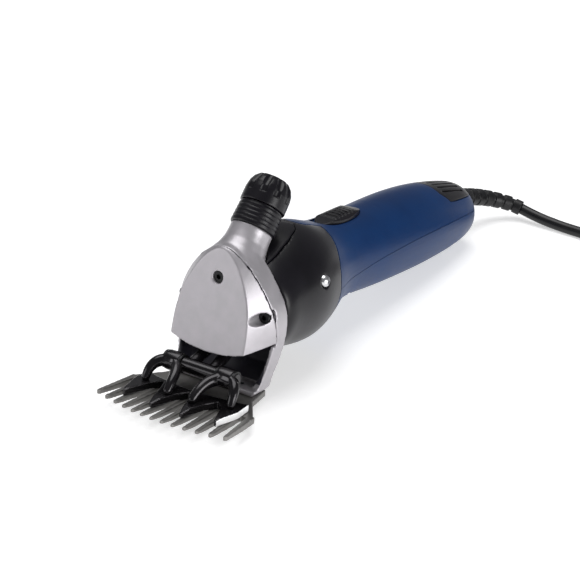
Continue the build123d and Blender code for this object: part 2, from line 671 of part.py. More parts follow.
def switch_recess(grow=0.0, z_low=50.0):
    """An oval pocket in the handle's top."""
    length, width = SWITCH_LENGTH + grow, SWITCH_WIDTH + grow
    plane = Plane(origin=(0, SWITCH_Y, z_low))
    return extrude(plane * Ellipse(width / 2, length / 2), amount=40)


def handle_shell(outer, inner):
    """The whole handle before it is parted: skin, end wall and the ribs that hold the motor."""
    shell = (outer - inner) - housing_region(SEAM_GAP)
    shell += outer & block((-50, 50), (292, 330), (0, 90))
    for start in RIB_PLACES:
        rib = body_solid(1.0) & block((-40, 40), (start, start + 2.4), (0, 90))
        shell += rib - along_y(STATOR_R + RUN, start - 1, start + 4, z=MOTOR_Z)
    shell -= rod(STRAIN_RADII[0] + 0.05, (0, 285, 38.5), (0, 320, 38.5))
    return shell


def make_handle_upper(shell, outer):
    upper = shell & above_parting(SEAM_GAP / 2)
    for x, y in handle_screw_places():
        foot = PARTING_AT_SCREWS + SEAM_GAP / 2
        boss = rod(3.6, (x, y, foot), (x, y, 60)) - rod(1.45, (x, y, foot - 1), (x, y, 46))
        upper += boss & body_solid(0.2)
    upper -= vent_region(SEAM_GAP)
    # thickened pad under the slider, with a slot for its stem
    pad = (outer - body_solid(WALL + 0.9)) & switch_recess(5.0)
    upper += pad
    for shift in (0.0, -SWITCH_TRAVEL):
        upper -= Pos(0, shift, 0) * switch_recess(1.0, SWITCH_FLOOR)
    upper -= block((-2.6, 2.6), (SWITCH_Y - 3.6 - SWITCH_TRAVEL, SWITCH_Y + 3.6), (50, 80))
    return upper


def make_handle_lower(shell):
    lower = shell - above_parting(-SEAM_GAP / 2)
    for x, y in handle_screw_places():
        floor = body_floor(x, y)
        boss = rod(3.6, (x, y, floor + 1), (x, y, PARTING_AT_SCREWS - SEAM_GAP / 2)) & body_solid(0.2)
        lower += boss
        lower -= rod(1.5, (x, y, floor - 5), (x, y, 45))
        lower -= rod(3.0, (x, y, floor - 5), (x, y, floor + 4.0))
    # cradle of the capacitor
    lower += block((-8, 8), (262, 266), (10, CAPACITOR_Z[0])) & body_solid(0.2)
    return lower


def handle_screw_places():
    return [(x, y) for y in (151.0, 274.0) for x in (-14.5, 14.5)]


def make_handle_screws():
    screws = Part()
    for x, y in handle_screw_places():
        floor = body_floor(x, y)
        screw = rod(1.45, (x, y, floor + 4.0), (x, y, 44))
        screw += rod(2.7, (x, y, floor + 2.0), (x, y, floor + 4.0))
        screws += screw - rod(1.2, (x, y, floor), (x, y, floor + 3.2))
    return screws


def make_filter_cover(outer, inner):
    cover = (outer - inner) & vent_region(0.0)
    cover += (outer & block((-50, 50), (292, 330), (0, 90))) & vent_region(0.0)
    # air slots run lengthwise
    for index in range(VENT_SLOTS):
        x = (index - (VENT_SLOTS - 1) / 2) * VENT_PITCH
        cover -= block((x - 0.7, x + 0.7), (262, 288.5), (44, 90))
    return cover


def make_air_filter():
    foam = body_solid(WALL) - body_solid(WALL + 3.4)
    return foam & vent_region(-1.6) & block((-30, 30), (260.5, 290), (40, 90))


# ---------------------------------------------------------------- switch
def make_switch_slider():
    """An oval thumb slide with a crowned, grooved top and a stem that works the switch."""
    base = SWITCH_FLOOR + 0.3
    pad = switch_recess(0.0, base) - block((-20, 20), (100, 220), (base + 4.3, 200))
    pad &= Pos(0, SWITCH_Y, base + 3.9 - 70) * Rot(0, 90, 0) * Cylinder(70, 60)
    pad &= Pos(0, SWITCH_Y, base + 3.9 - 13) * Rot(90, 0, 0) * Cylinder(13.2, 80)
    for index in range(9):
        y = SWITCH_Y + (index - 4) * 3.4
        pad -= block((-5.6, 5.6), (y - 0.55, y + 0.55), (base + 2.7, base + 8))
    stem = block((-2.2, 2.2), (SWITCH_Y - 3, SWITCH_Y + 3), (57.6, base + 1))
    return pad + stem


def make_switch_body():
    return block((-6, 6), (146.0, 159.5), (52.8, 57.2))


# ---------------------------------------------------------------- drive line
def gear_outline(module, teeth, backlash=0.12, addendum=0.9):
    """An involute spur gear's outline, one tooth centred on the +X axis."""
    pressure = math.radians(24)
    pitch_radius = module * teeth / 2
    base_radius = pitch_radius * math.cos(pressure)
    tip_radius = pitch_radius + module * addendum
    root_radius = pitch_radius - module * 1.15
    half_tooth = math.pi / (2 * teeth) - backlash / (2 * pitch_radius)
    involute = math.tan(pressure) - pressure
    start = max(base_radius, root_radius + 0.02)
    flank = []
    for step in range(4):
        radius = start + (tip_radius - start) * step / 3
        angle = math.acos(base_radius / radius)
        flank.append((radius, half_tooth + involute - (math.tan(angle) - angle)))
    points = []
    for tooth in range(teeth):
        middle = 2 * math.pi * tooth / teeth
        polar = [(root_radius, -flank[0][1] - 0.01)] + [(r, -a) for r, a in flank]
        polar += [(r, a) for r, a in flank[::-1]] + [(root_radius, flank[0][1] + 0.01)]
        points += [(r * math.cos(middle + a), r * math.sin(middle + a)) for r, a in polar]
    return points


def spur_gear(teeth, y_low, y_high, z, bore, turn):
    """A spur gear on a Y axis; turn is the angle of its first tooth from +X towards +Z."""
    points = gear_outline(GEAR_MODULE, teeth)
    cos_turn, sin_turn = math.cos(math.radians(turn)), math.sin(math.radians(turn))
    placed = [(x * cos_turn - h * sin_turn, y_low, z + x * sin_turn + h * cos_turn) for x, h in points]
    gear = extrude(make_face(Polyline(placed, close=True)), amount=y_high - y_low, dir=(0, 1, 0))
    return gear - along_y(bore, y_low - 1, y_high + 1, z=z)


def crank_pin_centre():
    """The crank pin stands off its shaft, on the side that the fork's tail has swung to."""
    angle = math.radians(CRANK_ANGLE)
    return -CRANK_THROW * math.sin(angle), CRANK_Z - CRANK_THROW * math.cos(angle)


def make_crankshaft():
    x, z = crank_pin_centre()
    shaft = along_y(3.0, 106.0, 127.5, z=CRANK_Z)
    disc = along_y(7.4, 105.0, 108.0, z=CRANK_Z)
    pin = along_y(1.6, ROLLER_Y[0], 105.5, x=x, z=z)
    return shaft + disc + pin


def make_counterweight():
    """A half disc on the crank, opposite its pin, riveted on behind."""
    ring = sleeve(10.6, 7.4, (0, 105.0, CRANK_Z), (0, 108.0, CRANK_Z))
    keep = Pos(0, 106.5, CRANK_Z) * Rot(0, CRANK_ANGLE, 0) * Pos(0, 0, 12.0) * Box(40, 10, 20)
    return ring & keep


def make_crank_roller():
    x, z = crank_pin_centre()
    return sleeve(3.3, 1.6 + RUN, (x, ROLLER_Y[0], z), (x, ROLLER_Y[1], z))


def make_drive_gear():
    gear = spur_gear(GEAR_TEETH, *GEAR_Y, CRANK_Z, 3.0, 90 + 180 / GEAR_TEETH)
    for index in range(5):
        turn = 72 * index
        spot = Pos(0, 0, CRANK_Z) * Rot(0, turn, 0) * Pos(0, 0, 6.6)
        gear -= spot * along_y(1.7, GEAR_Y[0] - 1, GEAR_Y[1] + 1)
    return gear


def make_motor_pinion():
    return spur_gear(PINION_TEETH, GEAR_Y[0] - 0.5, GEAR_Y[1] + 0.5, MOTOR_Z, 1.5, -90)


def make_crank_bracket():
    """The plate that holds the crank's front bearing, spanning the gear housing."""
    plate = block((-50, 50), (109.5, 113.0), (0, 90)) + along_y(8.6, 108.6, 113.4, z=CRANK_Z)
    for x, _, z in housing_screw_places():
        side = math.copysign(1, x)
        plate += block(tuple(sorted((side * 20.0, side * 40.0))), (97.5, 110), (z - 3.6, z + 3.6))
    plate &= body_solid(WALL + RUN)
    for x, y, z in housing_screw_places():
        plate -= rod(1.8, (0.6 * x, y, z), (x, y, z))
    plate -= along_y(6.5, 100, 120, z=CRANK_Z)
    plate -= along_y(5.0, 100, 120, z=MOTOR_Z)
    for x in (-16.0, 16.0):
        plate -= along_y(5.5, 100, 120, x=x, z=MOTOR_Z + 2)
    return plate


def make_bearing_plate():
    """The plate between the gears and the motor: rear crank bearing and front motor bearing."""
    plate = block((-50, 50), (122.0, 125.0), (0, 90)) + along_y(8.0, 122.0, 128.5, z=CRANK_Z + 0.4)
    plate &= body_solid(WALL + RUN)
    plate += along_y(8.2, 122.0, 129.5, z=MOTOR_Z)
    plate -= along_y(6.0, 115, 135, z=CRANK_Z)
    plate -= along_y(6.5, 115, 135, z=MOTOR_Z)
    return plate


def bearing(y_low, y_high, z, outer, shaft):
    """A shielded ball bearing: two races and a shield between them."""
    ring = sleeve(outer, shaft + RUN, (0, y_low, z), (0, y_high, z))
    for start in (y_low - 0.1, y_high - 0.5):
        ring -= sleeve(outer - 1.2, shaft + 1.4, (0, start, z), (0, start + 0.6, z))
    return ring


CORE_Y = (172.0, 208.0)
BRUSH_Y = 227.5
REAR_BEARING_Y = (245.0, 250.0)
ARMATURE_SLOTS = 12


def make_armature_shaft():
    shaft = along_y(MOTOR_SHAFT_R, 121.0, 253.0, z=MOTOR_Z)
    return shaft + along_y(1.5, 113.5, 121.0, z=MOTOR_Z)


def make_armature_core():
    """Slotted laminations."""
    low, high = CORE_Y
    core = along_y(ARMATURE_R, low, high, z=MOTOR_Z)
    for index in range(ARMATURE_SLOTS):
        spot = Pos(0, 0, MOTOR_Z) * Rot(0, 360 * index / ARMATURE_SLOTS, 0)
        core -= spot * block((-0.9, 0.9), (low - 1, high + 1), (ARMATURE_R - 2.2, ARMATURE_R + 1))
        core -= spot * along_y(1.9, low - 1, high + 1, z=ARMATURE_R - 4.0)
    return core - along_y(MOTOR_SHAFT_R, low - 1, high + 1, z=MOTOR_Z)


def make_armature_windings():
    """Two end turns, joined by the wires in the slots."""
    low, high = CORE_Y
    coils = sleeve(12.6, MOTOR_SHAFT_R, (0, low - 9.0, MOTOR_Z), (0, low, MOTOR_Z))
    coils += sleeve(12.6, MOTOR_SHAFT_R, (0, high, MOTOR_Z), (0, high + 9.0, MOTOR_Z))
    for index in range(ARMATURE_SLOTS):
        spot = Pos(0, 0, MOTOR_Z) * Rot(0, 360 * index / ARMATURE_SLOTS, 0)
        coils += spot * along_y(1.6, low, high, z=ARMATURE_R - 4.0)
    return coils


def make_commutator():
    """Copper bars with a raised riser at the armature's end."""
    bars = 24
    low, high = COMMUTATOR_Y
    ring = along_y(COMMUTATOR_R, low, high, z=MOTOR_Z)
    ring += along_y(COMMUTATOR_R + 1.2, low, low + 2.0, z=MOTOR_Z)
    for index in range(bars):
        spot = Pos(0, 0, MOTOR_Z) * Rot(0, 360 * index / bars, 0)
        ring -= spot * block((-0.2, 0.2), (low - 1, high + 1), (COMMUTATOR_R - 0.8, COMMUTATOR_R + 2))
    return ring - along_y(MOTOR_SHAFT_R, low - 1, high + 1, z=MOTOR_Z)


def make_cooling_fan():
    fan = sleeve(5.0, MOTOR_SHAFT_R, (0, 134.0, MOTOR_Z), (0, 144.0, MOTOR_Z))
    fan += sleeve(17.0, MOTOR_SHAFT_R, (0, 142.6, MOTOR_Z), (0, 144.0, MOTOR_Z))
    blades = 11
    for index in range(blades):
        spot = Pos(0, 0, MOTOR_Z) * Rot(0, 360 * index / blades, 0)
        fan += spot * block((-0.6, 0.6), (135.5, 143.0), (4.5, 16.6))
    return fan


def make_stator_core():
    """A field ring with two pole pieces about the armature."""
    low, high = STATOR_Y
    core = sleeve(STATOR_R, ARMATURE_R + 0.6, (0, low, MOTOR_Z), (0, high, MOTOR_Z))
    for side in (-1, 1):
        core -= block((side * 14.6 - 2.6, side * 14.6 + 2.6), (low - 1, high + 1), (MOTOR_Z - 7, MOTOR_Z + 7))
    return core


def make_field_windings():
    """Two coils in the field ring's side windows, proud of it at both ends."""
    low, high = STATOR_Y
    coils = Part()
    for side in (-1, 1):
        limits = (side * 14.6 - 2.55, side * 14.6 + 2.55)
        coil = block(limits, (low - 4, high + 4), (MOTOR_Z - 6.95, MOTOR_Z + 6.95))
        coils += coil - along_y(ARMATURE_R + 0.6, low - 5, high + 5, z=MOTOR_Z)
    return coils


def make_brush_holders():
    """Two boxes that reach from the handle's wall to the commutator."""
    near, far = COMMUTATOR_R + 2.0, 30.0
    holders = Part()
    for side in (-1, 1):
        limits = tuple(sorted((side * near, side * far)))
        hollow = tuple(sorted((side * (near - 1), side * (COMMUTATOR_R + 9.0))))
        holder = block(limits, (BRUSH_Y - 5.0, BRUSH_Y + 5.0), (MOTOR_Z - 4.6, MOTOR_Z + 4.6))
        holder &= body_solid(WALL + RUN)
        holders += holder - block(hollow, (BRUSH_Y - 3.05, BRUSH_Y + 3.05), (MOTOR_Z - 2.55, MOTOR_Z + 2.55))
    return holders


def make_brushes():
    """Carbon blocks, hollowed to the commutator's curve and held just clear of it."""
    face = COMMUTATOR_R + 0.3
    brushes = Part()
    for side in (-1, 1):
        limits = tuple(sorted((side * (COMMUTATOR_R - 1.0), side * (COMMUTATOR_R + 7.0))))
        brush = block(limits, (BRUSH_Y - 3.0, BRUSH_Y + 3.0), (MOTOR_Z - 2.5, MOTOR_Z + 2.5))
        brushes += brush - along_y(face, BRUSH_Y - 4, BRUSH_Y + 4, z=MOTOR_Z)
    return brushes


def make_motor_end_bracket():
    """The spider behind the commutator, which carries the rear bearing."""
    front = REAR_BEARING_Y[0]
    bracket = block((-50, 50), (front, front + 3.0), (0, 90)) & body_solid(WALL + RUN)
    bracket += along_y(8.6, front - 1.0, front + 6.5, z=MOTOR_Z)
    for index in range(6):
        spot = Pos(0, 0, MOTOR_Z) * Rot(0, 60 * index + 30, 0)
        bracket -= spot * along_y(3.4, front - 5, front + 10, z=13.0)
    return bracket - along_y(6.5, front - 5, front + 10, z=MOTOR_Z)


def make_capacitor():
    body = block((-8, 8), (256, 273), CAPACITOR_Z)
    for x in (-4, 4):
        body += rod(0.8, (x, 256, 25), (x, 252.5, 25))
    return body


# ---------------------------------------------------------------- cord
def make_strain_relief():
    """A flexible sleeve that leaves the handle's rear and bends towards the floor."""
    points = [Vector(p) for p in STRAIN_PATH]
    path = Spline(points, tangents=[(0, 1, 0), (1.0, 0.16, -0.3)])
    stations = 9
    sections = []
    for index in range(stations):
        share = index / (stations - 1)
        radius = STRAIN_RADII[0] + (STRAIN_RADII[-1] - STRAIN_RADII[0]) * share - 0.9
        plane = Plane(origin=path @ share, z_dir=path % share)
        sections.append(plane * Circle(radius))
    relief = loft(sections)
    ribs = 7
    for index in range(ribs):
        share = 0.26 + 0.70 * index / (ribs - 1)
        radius = STRAIN_RADII[0] + (STRAIN_RADII[-1] - STRAIN_RADII[0]) * share
        centre, ahead = path @ share, path % share
        relief += rod(radius, centre - ahead * 2.4, centre + ahead * 2.4)
    flange = rod(STRAIN_RADII[0], (0, 290.0, 38.5), (0, 303.5, 38.5))
    flange += rod(8.0, (0, 288.2, 38.5), (0, 291.9, 38.5))
    return relief + flange


def make_cord_clamp():
    """The saddle that grips the cord inside the handle."""
    saddle = block((-40, 40), (279, 286), (29.0, 33.6)) & body_solid(WALL + RUN)
    return saddle + sleeve(5.2, CORD_RADIUS + 0.1, (0, 279, 38.5), (0, 286, 38.5))


def to_floor_frame(point):
    """A point of the machine, in the finished frame."""
    tilt = math.radians(REST_TILT)
    x, y, z = point
    return (x, y * math.cos(tilt) + z * math.sin(tilt) - MID_LENGTH,
            z * math.cos(tilt) - y * math.sin(tilt) + REST_LIFT)


def round_tube(points):
    """A tube of straight runs and tangent arcs, each arc as large as its two runs allow."""
    vectors = [Vector(p) for p in points]
    radii = []
    for before, here, after in zip(vectors, vectors[1:], vectors[2:]):
        turn = math.radians((here - before).get_angle(after - here))
        shorter = min((here - before).length, (after - here).length)
        radii.append(0.45 * shorter / math.tan(turn / 2))
    print("arc radii", [round(radius, 1) for radius in radii])
    path = FilletPolyline(*vectors, radius=radii)
    section = Plane(origin=vectors[0], z_dir=vectors[1] - vectors[0]) * Circle(CORD_RADIUS)
    tube = sweep(section, path=path)
    print("tube volume", round(tube.volume), "expected", round(math.pi * CORD_RADIUS ** 2 * path.length))
    return tube


def cord_route():
    return [to_floor_frame(STRAIN_PATH[-1])] + CORD_POINTS


def coil_height():
    return 2 * CORD_RADIUS * COIL_ROWS


def make_cord_coil():
    outer = COIL_MID_RADIUS + CORD_RADIUS * COIL_COLUMNS
    inner = COIL_MID_RADIUS - CORD_RADIUS * COIL_COLUMNS
    middle = Pos(COIL_CENTRE[0], COIL_CENTRE[1], 0)
    ring = Cylinder(outer, coil_height(), align=(Align.CENTER, Align.CENTER, Align.MIN))
    ring -= Cylinder(inner, coil_height(), align=(Align.CENTER, Align.CENTER, Align.MIN))
    ring = fillet(ring.edges(), 2.2)
    return middle * ring


def tail_route():
    """From the top of the coil, up and over it, to the plug's sleeve."""
    cx, cy = COIL_CENTRE
    height, offset = PLUG_AXIS
    return [(cx + 34.5, cy - 17.0, 24.6), (cx + 39.0, cy - 3.0, 28.6), (cx + 36.5, cy + 13.0, 32.6),
            (cx + 26.5, cy + 23.5, 34.8), (cx + 14.0, cy + offset, height)]


def make_plug_body():
    cx, cy = COIL_CENTRE
    height, offset = PLUG_AXIS
    y = cy + offset
    shoulder = cx - 2.0
    body = loft([
        Plane(origin=(shoulder + 16, y, height), z_dir=(-1, 0, 0), x_dir=(0, 1, 0)) * Circle(4.6),
        Plane(origin=(shoulder, y, height), z_dir=(-1, 0, 0), x_dir=(0, 1, 0)) * Circle(5.6)])
    body += block((shoulder - 12, shoulder), (y - 10, y + 10), (height - 7.6, height + 7.6))
    body += block((shoulder - 34, shoulder - 12), (y - 17, y + 17), (height - 7.6, height + 7.6))
    body = fillet(body.edges().filter_by(Axis.X), 3.5)
    return body


def plug_pin_base():
    cx, cy = COIL_CENTRE
    return cx - 36.0, cy + PLUG_AXIS[1], PLUG_AXIS[0]


def make_plug_pins():
    x, y, z = plug_pin_base()
    pins = Part()
    for side in (-1, 1):
        start = (x, y + side * PLUG_PIN_SPACING / 2, z)
        pins += rod(PLUG_PIN_RADIUS, start, (x - PLUG_PIN_LENGTH, start[1], z))
    return pins


def make_cord_tie():
    """A strap round one side of the coil."""
    outer = COIL_MID_RADIUS + CORD_RADIUS * COIL_COLUMNS
    inner = COIL_MID_RADIUS - CORD_RADIUS * COIL_COLUMNS
    top = coil_height()
    cx, cy = COIL_CENTRE
    half = 5.0
    near = cy - math.sqrt(inner ** 2 - half ** 2) + 0.1
    far = cy - outer - 0.1
    strap = block((cx - half, cx + half), (far - 0.9, near + 0.9), (0, top + 1.0))
    return strap - block((cx - half - 1, cx + half + 1), (far, near), (-1, top + 0.1))


# ---------------------------------------------------------------- assembly
def machine_nodes():
    outer, inner = body_solid(), body_solid(WALL)
    shell = handle_shell(outer, inner)
    return {
        "comb": make_comb(),
        "comb_screws": make_comb_screws(),
        "cutter": make_cutter(),
        "fork": make_fork(),
        "left_yoke": make_yoke(1),
        "right_yoke": make_yoke(-1),
        "yoke_clips": make_yoke_clips(),
        "centre_post": make_centre_post(),
        "head_casting": make_head_casting(),
        "head_cover": make_head_cover(),
        "cover_screws": make_cover_screws(),
        "tension_sleeve": make_tension_sleeve(),
        "tension_knob": make_tension_knob(),
        "tension_pin": make_tension_pin(),
        "tension_spring": make_tension_spring(),
        "gear_housing": make_gear_housing(outer, inner),
        "housing_cap": make_housing_cap(outer, inner),
        "housing_screws": make_housing_screws(),
        "crank_bracket": make_crank_bracket(),
        "bearing_plate": make_bearing_plate(),
        "crank_front_bearing": bearing(109.0, 113.0, CRANK_Z, 6.5, 3.0),
        "crank_rear_bearing": bearing(122.4, 126.4, CRANK_Z, 6.0, 3.0),
        "crankshaft": make_crankshaft(),
        "counterweight": make_counterweight(),
        "crank_roller": make_crank_roller(),
        "drive_gear": make_drive_gear(),
        "motor_pinion": make_motor_pinion(),
        "motor_front_bearing": bearing(123.5, 128.5, MOTOR_Z, 6.5, MOTOR_SHAFT_R),
        "motor_rear_bearing": bearing(*REAR_BEARING_Y, MOTOR_Z, 6.5, MOTOR_SHAFT_R),
        "motor_end_bracket": make_motor_end_bracket(),
        "armature_shaft": make_armature_shaft(),
        "armature_core": make_armature_core(),
        "armature_windings": make_armature_windings(),
        "commutator": make_commutator(),
        "cooling_fan": make_cooling_fan(),
        "stator_core": make_stator_core(),
        "field_windings": make_field_windings(),
        "brush_holders": make_brush_holders(),
        "brushes": make_brushes(),
        "capacitor": make_capacitor(),
        "handle_upper": make_handle_upper(shell, outer),
        "handle_lower": make_handle_lower(shell),
        "handle_screws": make_handle_screws(),
        "switch_slider": make_switch_slider(),
        "switch_body": make_switch_body(),
        "filter_cover": make_filter_cover(outer, inner),
        "air_filter": make_air_filter(),
        "strain_relief": make_strain_relief(),
        "cord_clamp": make_cord_clamp(),
    }


def cord_nodes():
    lead, tail = round_tube(cord_route()), round_tube(tail_route())
    return {
        "cord_lead": lead,
        "cord_coil": make_cord_coil() - lead - tail,
        "cord_tie": make_cord_tie() - lead,
        "cord_tail": tail,
        "plug_body": make_plug_body() - tail,
        "plug_pins": make_plug_pins(),
    }


def set_down(piece):
    """Tip the machine back and stand it on the floor."""
    return Pos(0, -MID_LENGTH, REST_LIFT) * Rot(-REST_TILT, 0, 0) * piece


def all_nodes():
    nodes = {name: set_down(piece) for name, piece in machine_nodes().items()}
    nodes.update(cord_nodes())
    nodes["strain_relief"] -= nodes["cord_lead"]
    return nodes


if __name__ == "__main__":
    os.makedirs("parts", exist_ok=True)
    for node_name, node_part in all_nodes().items():
        node_part.label = node_name
        export_step(node_part, f"parts/{node_name}.step")
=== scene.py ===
import json
import math

import bmesh
import bpy
from mathutils import Matrix, Vector

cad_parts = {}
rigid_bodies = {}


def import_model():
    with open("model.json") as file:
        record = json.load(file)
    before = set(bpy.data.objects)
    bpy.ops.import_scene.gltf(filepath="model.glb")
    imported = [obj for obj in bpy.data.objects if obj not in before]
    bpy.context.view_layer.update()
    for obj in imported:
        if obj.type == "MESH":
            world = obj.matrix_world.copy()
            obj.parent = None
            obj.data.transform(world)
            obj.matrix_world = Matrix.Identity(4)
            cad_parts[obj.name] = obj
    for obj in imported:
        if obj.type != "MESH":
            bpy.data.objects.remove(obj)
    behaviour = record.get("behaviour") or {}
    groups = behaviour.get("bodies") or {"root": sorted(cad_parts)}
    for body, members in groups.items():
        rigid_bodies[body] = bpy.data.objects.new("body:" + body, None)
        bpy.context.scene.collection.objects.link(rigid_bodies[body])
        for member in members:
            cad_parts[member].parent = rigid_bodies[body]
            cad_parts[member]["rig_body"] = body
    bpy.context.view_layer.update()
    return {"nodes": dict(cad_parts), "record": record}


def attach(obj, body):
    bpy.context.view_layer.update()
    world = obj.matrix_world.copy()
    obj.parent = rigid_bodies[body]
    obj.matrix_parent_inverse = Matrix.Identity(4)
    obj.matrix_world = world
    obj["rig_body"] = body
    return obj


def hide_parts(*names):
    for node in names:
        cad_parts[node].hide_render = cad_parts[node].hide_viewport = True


# Looks for the electric sheep shears. Everything is in metres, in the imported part's frame.
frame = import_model()
nodes = frame["nodes"]

MM = 0.001
# The machine's own frame (y = 0 at the comb's tips, z = 0 on the comb's top face) lies in the
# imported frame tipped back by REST_TILT, and shifted.
REST_TILT = math.radians(5.168)
MID_LENGTH = 151.453
REST_LIFT = 11.263


def at(x, y, z):
    """A point of the machine's own frame, in mm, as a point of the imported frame, in metres."""
    c, s = math.cos(REST_TILT), math.sin(REST_TILT)
    return Vector((x, y * c + z * s - MID_LENGTH, z * c - y * s + REST_LIFT)) * MM


def machine(point, is_place=True):
    """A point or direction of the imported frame, in the machine's own frame; a point is in mm."""
    c, s = math.cos(REST_TILT), math.sin(REST_TILT)
    x, y, z = point
    if is_place:
        x, y, z = x / MM, y / MM + MID_LENGTH, z / MM - REST_LIFT
    return Vector((x, y * c - z * s, z * c + y * s))


# ---------------------------------------------------------------- camera
CAMERA_PLACE = Vector((0.40576, -0.65143, 0.39009))
CAMERA_AIM = Vector((0.0358, -0.08645, 0.06385))
CAMERA_ROLL = math.radians(1.21)
camera_data = bpy.data.cameras.new("camera")
camera_data.sensor_width = 36.0
camera_data.lens = 96.35
camera = bpy.data.objects.new("camera", camera_data)
bpy.context.scene.collection.objects.link(camera)
look = (CAMERA_AIM - CAMERA_PLACE).to_track_quat("-Z", "Y")
turned = look.to_matrix().to_4x4() @ Matrix.Rotation(CAMERA_ROLL, 4, "Z")
camera.matrix_world = Matrix.Translation(CAMERA_PLACE) @ turned
bpy.context.scene.camera = camera


# ---------------------------------------------------------------- materials
def link(tree, source, output, target, socket):
    tree.links.new(source.outputs[output], target.inputs[socket])


def finish_of(name, colour, second, roughness, metallic=0.0, grain=2600.0, bump=0.12, depth=0.00004,
              patch=60.0, stretch=(1, 1, 1), coat=0.0, wear_and_highlight=None, specular=0.5, rough_spread=0.08, sheen=0.0):
    """A surface with broad colour patches, fine grain, uneven roughness and, if asked, lighter sharp edges:
    worn edges, and on the blackened steel also a painted highlight.
    """
    material = bpy.data.materials.new(name)
    material.use_nodes = True
    tree = material.node_tree
    tree.nodes.clear()
    new = tree.nodes.new
    out = new("ShaderNodeOutputMaterial")
    shader = new("ShaderNodeBsdfPrincipled")
    link(tree, shader, "BSDF", out, "Surface")
    place = new("ShaderNodeTexCoord")
    mapping = new("ShaderNodeMapping")
    mapping.inputs["Scale"].default_value = stretch
    link(tree, place, "Object", mapping, "Vector")

    broad = new("ShaderNodeTexNoise")
    broad.inputs["Scale"].default_value = patch
    broad.inputs["Detail"].default_value = 4.0
    link(tree, place, "Object", broad, "Vector")
    ramp = new("ShaderNodeValToRGB")
    ramp.color_ramp.elements[0].position = 0.35
    ramp.color_ramp.elements[1].position = 0.68
    ramp.color_ramp.elements[0].color = (*colour, 1)
    ramp.color_ramp.elements[1].color = (*second, 1)
    link(tree, broad, "Fac", ramp, "Fac")

    if wear_and_highlight is None:
        link(tree, ramp, "Color", shader, "Base Color")
    else:
        edge_colour, low, high = wear_and_highlight
        # sharp edges are lightened by pointiness: wear, and on the blackened steel also a painted highlight
        edges = new("ShaderNodeNewGeometry")
        edge_ramp = new("ShaderNodeMapRange")
        edge_ramp.inputs["From Min"].default_value = low
        edge_ramp.inputs["From Max"].default_value = high
        link(tree, edges, "Pointiness", edge_ramp, "Value")
        mix = new("ShaderNodeMix")
        mix.data_type = "RGBA"
        link(tree, edge_ramp, "Result", mix, "Factor")
        link(tree, ramp, "Color", mix, "A")
        mix.inputs["B"].default_value = (*edge_colour, 1)
        link(tree, mix, "Result", shader, "Base Color")

    fine = new("ShaderNodeTexNoise")
    fine.inputs["Scale"].default_value = grain
    fine.inputs["Detail"].default_value = 3.0
    link(tree, mapping, "Vector", fine, "Vector")
    relief = new("ShaderNodeBump")
    relief.inputs["Strength"].default_value = bump
    relief.inputs["Distance"].default_value = depth
    link(tree, fine, "Fac", relief, "Height")
    link(tree, relief, "Normal", shader, "Normal")

    uneven = new("ShaderNodeMapRange")
    uneven.inputs["To Min"].default_value = max(0.02, roughness - rough_spread)
    uneven.inputs["To Max"].default_value = roughness + rough_spread
    link(tree, broad, "Fac", uneven, "Value")
    link(tree, uneven, "Result", shader, "Roughness")
    shader.inputs["Metallic"].default_value = metallic
    shader.inputs["Specular IOR Level"].default_value = specular
    shader.inputs["Coat Weight"].default_value = coat
    shader.inputs["Coat Roughness"].default_value = 0.12
    shader.inputs["Sheen Weight"].default_value = sheen
    return material


